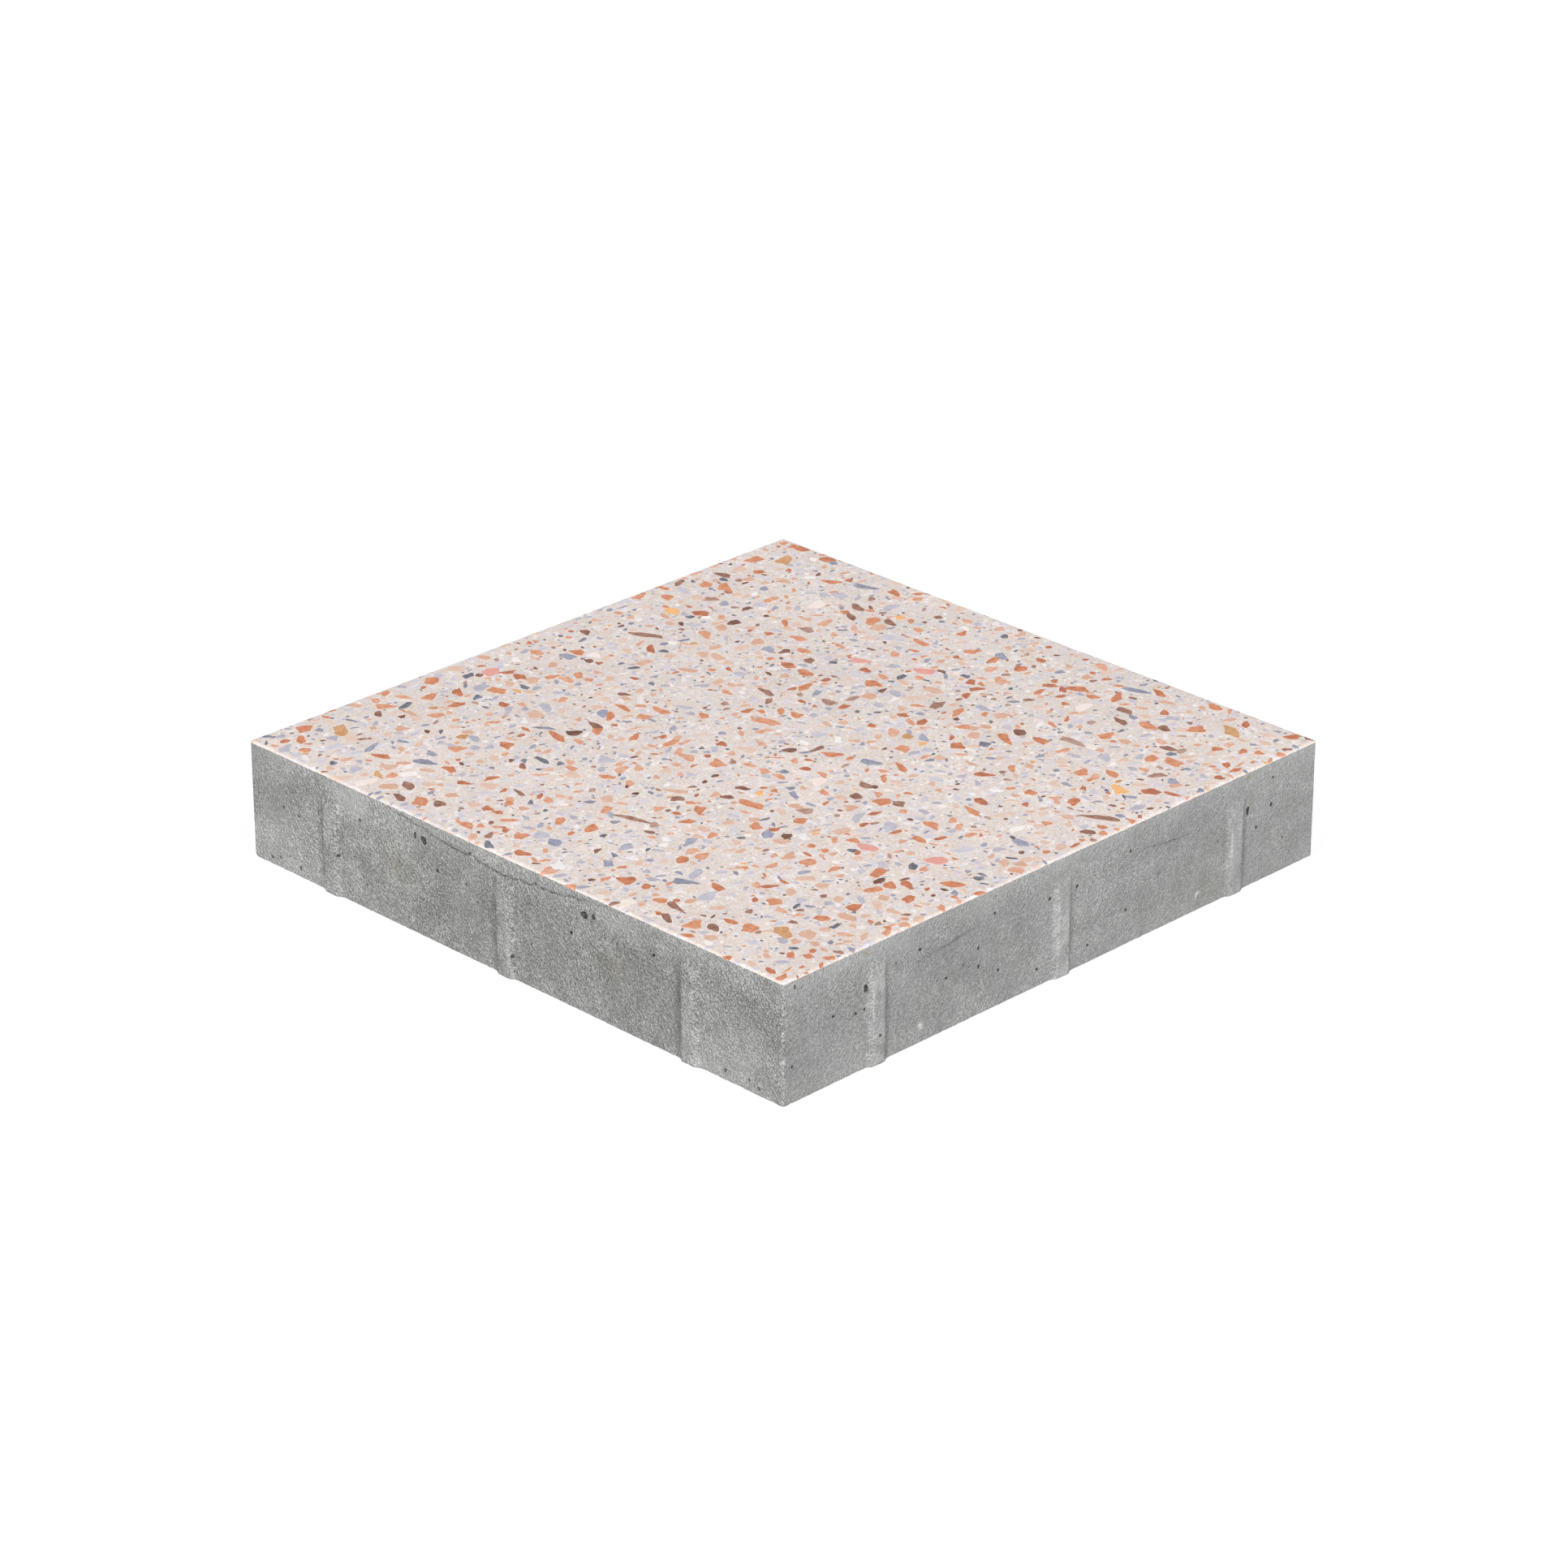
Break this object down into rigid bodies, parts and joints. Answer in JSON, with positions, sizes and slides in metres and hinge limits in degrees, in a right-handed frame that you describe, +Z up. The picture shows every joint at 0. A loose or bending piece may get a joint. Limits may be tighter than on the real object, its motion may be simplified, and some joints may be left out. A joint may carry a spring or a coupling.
{
  "type": "concrete paving slab",
  "caption": "Square concrete paving slab with a ground, stone-flecked walking face, plain pressed sides and moulded spacer nibs that set the laying joint.",
  "frame": {"origin": "middle of the underside", "axes": "+Z up through the walking face; X and Y along the sides"},
  "size_m": [0.3, 0.3, 0.05],
  "materials": {
    "pressed_concrete": "matt grey, sandy, as pressed",
    "ground_face": "ground flat, pale beige with inlaid stone chips"
  },
  "bodies": {
    "root": {"paving_slab": "pressed_concrete"}
  },
  "joints": []
}
